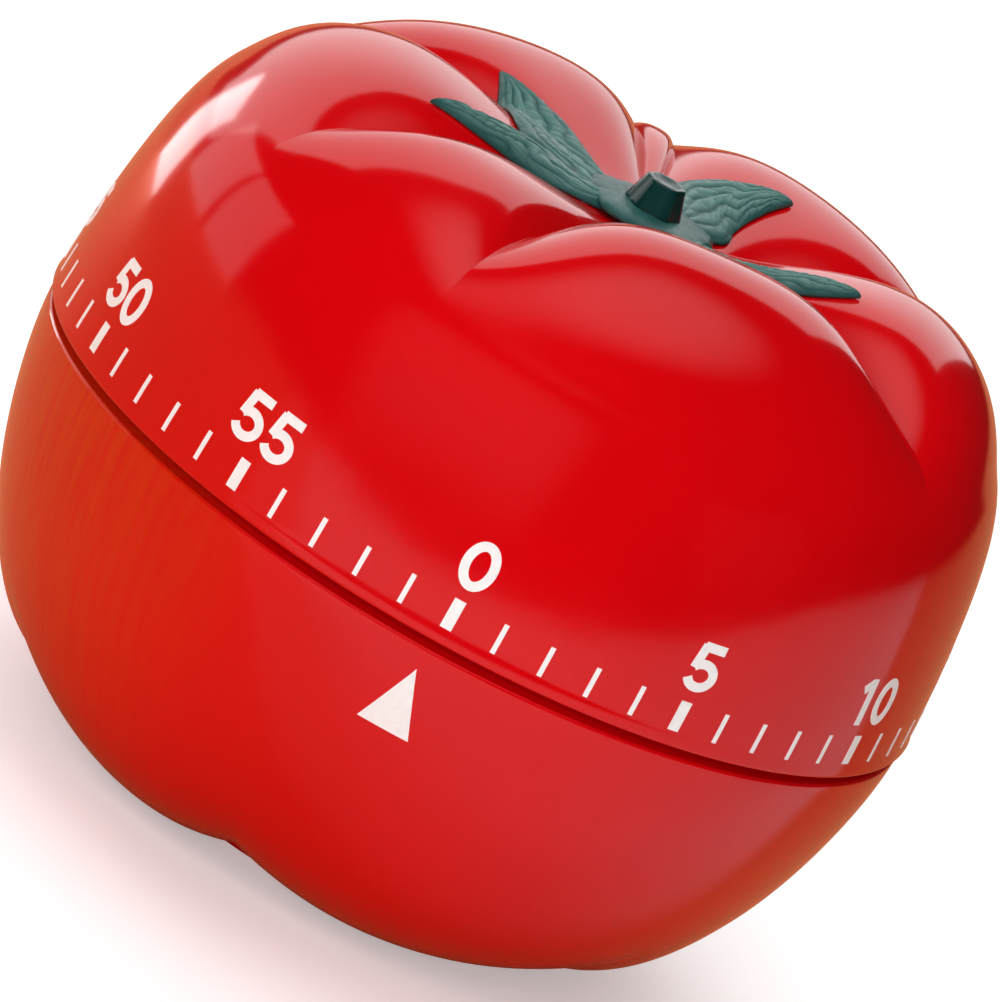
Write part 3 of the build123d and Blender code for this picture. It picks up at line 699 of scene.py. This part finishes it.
def make_stem(material):
    """Tapered stub with six soft flutes and a hollowed top, on a plain peg that goes down into the cap."""
    foot, top, peg, peg_length = 2.05, 1.45, 1.55, 5.0
    plain_rows_below, steps = 3, 12
    rows = [(peg, STEM_FOOT - peg_length), (peg + 0.02, STEM_FOOT - 0.1), (foot * 0.97, STEM_FOOT)]
    rows += [(foot + (top - foot) * i / steps, STEM_FOOT + 0.08 + (STEM_TOP - STEM_FOOT - 0.3) * i / steps)
             for i in range(steps + 1)]
    rows += [(top - 0.05, STEM_TOP - 0.1), (top - 0.16, STEM_TOP - 0.02), (top - 0.35, STEM_TOP - 0.05),
             (top - 0.6, STEM_TOP - 0.18), (0.3, STEM_TOP - 0.24)]
    piece = revolve_rows("stem_stub", rows, 144, "dial", material,
                         lambda a, k: 1 + (0.045 * math.cos(6 * a) if k >= plain_rows_below else 0.0))
    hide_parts("stem")


# ---- Object -------------------------------------------------------------------------------------
materials = {
    "red_plastic": red_plastic("red_plastic", reflection_streaks=False),
    # The base's material paints an orange reflection up its left side.
    "base_plastic": red_plastic("base_plastic", reflection_streaks=True),
    "calyx_plastic": leaf_green(),
    "stem_plastic": stem_green(),
    "brass": metal("brass", (0.52, 0.33, 0.09), (0.72, 0.52, 0.20), 0.22, 0.38, (1.0, 6.0, 1.0)),
    "steel": metal("steel", (0.42, 0.42, 0.43), (0.60, 0.60, 0.61), 0.20, 0.36, (1.0, 1.0, 5.0)),
    "spring_steel": metal("spring_steel", (0.10, 0.12, 0.17), (0.20, 0.22, 0.27), 0.25, 0.40,
                          (1.0, 1.0, 8.0)),
    "bell_steel": metal("bell_steel", (0.60, 0.60, 0.61), (0.74, 0.74, 0.75), 0.08, 0.18),
    "printed_marks": printed_white(),
}
slots = {part["node"]: part["material_slot"] for part in frame["record"]["subparts"]}
for name, part in frame["nodes"].items():
    for slot in part.material_slots:
        slot.material = materials[slots[name]]

cap = make_cap(materials["red_plastic"])
make_base(materials["base_plastic"])
make_dial_marks(materials["printed_marks"])
make_pointer(materials["printed_marks"])
make_calyx(cap, materials["calyx_plastic"])
make_collar(materials["calyx_plastic"])
make_stem(materials["stem_plastic"])

# ---- Camera, at the photograph's viewing angle --------------------------------------------------
VIEW_HEADING = math.radians(-3.19)
VIEW_ELEVATION = math.radians(16.44)
VIEW_ROLL = math.radians(29.68)
VIEW_DISTANCE = 21.77 * RING_RADIUS * MM
LENS_PER_WIDTH = 10.512
SENSOR = 36.0
camera = put_in_scene("camera", bpy.data.cameras.new("camera"))
back = Vector((math.sin(VIEW_HEADING) * math.cos(VIEW_ELEVATION),
               -math.cos(VIEW_HEADING) * math.cos(VIEW_ELEVATION), math.sin(VIEW_ELEVATION)))
camera.rotation_mode = "QUATERNION"
camera.location = Vector((0, 0, RING_HEIGHT * MM)) + back * VIEW_DISTANCE
camera.rotation_quaternion = (-back).to_track_quat("-Z", "Y") @ Quaternion((0, 0, 1), VIEW_ROLL)
camera.data.sensor_width = SENSOR
camera.data.lens = LENS_PER_WIDTH * SENSOR
camera.data.shift_x, camera.data.shift_y = 0.0094, -0.0111
camera.data.clip_start, camera.data.clip_end = 0.05, 20.0
bpy.context.scene.camera = camera


# ---- Studio -------------------------------------------------------------------------------------
def side_of(tree, place, corner, toward, width):
    """0 to 1 across a straight edge on the floor, through a corner and brighter towards a heading."""
    x, y = corner
    made = node(tree, "ShaderNodeVectorMath", operation="DOT_PRODUCT")
    tree.links.new(place, made.inputs[0])
    made.inputs[1].default_value = (*toward, 0.0)
    level = x * toward[0] + y * toward[1]
    return ramp(tree, made.outputs["Value"], level, level + width, 0.0, 1.0)


def make_floor():
    """Plain white floor. What the glossy shell mirrors of it is painted: warm painted shade, but for a
    painted lit area in front.
    """
    side = 3.0
    corners = [(-side, -side, 0), (side, -side, 0), (side, side, 0), (-side, side, 0)]
    mesh = bpy.data.meshes.new("floor")
    mesh.from_pydata(corners, [], [(0, 1, 2, 3)])
    floor = put_in_scene("floor", mesh)
    material, tree, shader = new_material("floor_paper")
    place = node(tree, "ShaderNodeTexCoord").outputs["Object"]
    grain = noise(tree, place, 400.0)
    white = mix_color(tree, grain, (0.90, 0.90, 0.90), (0.93, 0.93, 0.93))
    # Painted light and shadow, seen only in reflections: the object's painted shadow edge at the left front,
    # the edge of a painted lit area to the right, and the table's edge beyond which all is painted dark.
    shadow_edge = side_of(tree, place, (-0.006, -0.034), (0.53, -0.85), 0.006)
    lit_area_edge = side_of(tree, place, (0.050, 0.004), (0.67, -0.74), 0.02)
    table_edge = side_of(tree, place, (0.0, -0.29), (-0.15, 0.98), 0.015)
    painted_lit_area = node(tree, "ShaderNodeMath", operation="MULTIPLY")
    tree.links.new(shadow_edge, painted_lit_area.inputs[0])
    tree.links.new(ramp(tree, lit_area_edge, 0, 1, 0.35, 1), painted_lit_area.inputs[1])
    # Warm painted shade with bounce light outside the painted lit area; the pale colour is the painted pool
    # of light.
    lit = mix_color(tree, painted_lit_area.outputs[0], (0.72, 0.27, 0.11), (0.92, 0.80, 0.78))
    painted_floor_reflection = mix_color(tree, table_edge, (0.0, 0.0, 0.0), lit)
    seen = node(tree, "ShaderNodeLightPath").outputs["Is Camera Ray"]
    tree.links.new(mix_color(tree, seen, painted_floor_reflection, white), shader.inputs["Base Color"])
    shader.inputs["Roughness"].default_value = 0.8
    shader.inputs["Specular IOR Level"].default_value = 0.1
    shader.inputs["Emission Color"].default_value = (1, 1, 1, 1)
    tree.links.new(ramp(tree, seen, 0, 1, 0.0, 0.35), shader.inputs["Emission Strength"])
    mesh.materials.append(material)


LAMP_TARGET = Vector((0, 0, 0.03))


def area_light(name, place, size, radiance, color=(1, 1, 1), reflected=True):
    """Soft rectangular lamp facing the timer. A lamp that isn't reflected only fills in the shade."""
    light = bpy.data.lights.new(name, "AREA")
    light.shape = "RECTANGLE"
    light.size, light.size_y = size
    light.energy = radiance * math.pi * size[0] * size[1]
    light.color = color
    lamp = put_in_scene(name, light)
    lamp.location = place
    lamp.rotation_mode = "QUATERNION"
    lamp.rotation_quaternion = (LAMP_TARGET - Vector(place)).to_track_quat("-Z", "Y")
    lamp.visible_glossy = reflected
    lamp.visible_camera = False


def make_room():
    """White to the eye; in reflections dark, with a soft glow overhead."""
    world = bpy.data.worlds.new("studio")
    world.use_nodes = True
    bpy.context.scene.world = world
    tree = world.node_tree
    background = tree.nodes["Background"]
    background.inputs["Color"].default_value = (1, 1, 1, 1)
    way = node(tree, "ShaderNodeTexCoord").outputs["Generated"]
    up = node(tree, "ShaderNodeVectorMath", operation="DOT_PRODUCT")
    tree.links.new(way, up.inputs[0])
    up.inputs[1].default_value = (0.0, -0.17, 0.985)
    glow = ramp(tree, up.outputs["Value"], 0.80, 0.985, 0.012, 0.95, "SMOOTHSTEP")
    seen = node(tree, "ShaderNodeMix", data_type="FLOAT")
    tree.links.new(node(tree, "ShaderNodeLightPath").outputs["Is Camera Ray"], seen.inputs[0])
    tree.links.new(glow, seen.inputs[2])
    seen.inputs[3].default_value = 1.0
    tree.links.new(seen.outputs[0], background.inputs["Strength"])


make_floor()
make_room()
# Lamp places and sizes are in metres.
area_light("back_wall", (-0.3, 1.0, 0.62), (1.75, 1.15), 1.35)
area_light("window_strip", (-0.180, 0.176, 0.048), (0.060, 0.094), 4.5)
area_light("pane_back", (-0.90, 0.48, 0.17), (0.34, 0.44), 1.1)
area_light("pane_front", (-1.0, 0.11, 0.17), (0.34, 0.44), 0.9)
area_light("front_fill", (-0.35, -1.1, 0.42), (1.2, 0.8), 3.9, reflected=False)
area_light("right_fill", (0.9, -0.5, 0.2), (0.5, 0.4), 1.6, (1.0, 0.85, 0.75), reflected=False)
area_light("top_fill", (-0.1, 0.1, 1.2), (1.0, 1.0), 1.3, reflected=False)

bpy.context.scene.view_settings.view_transform = "Standard"
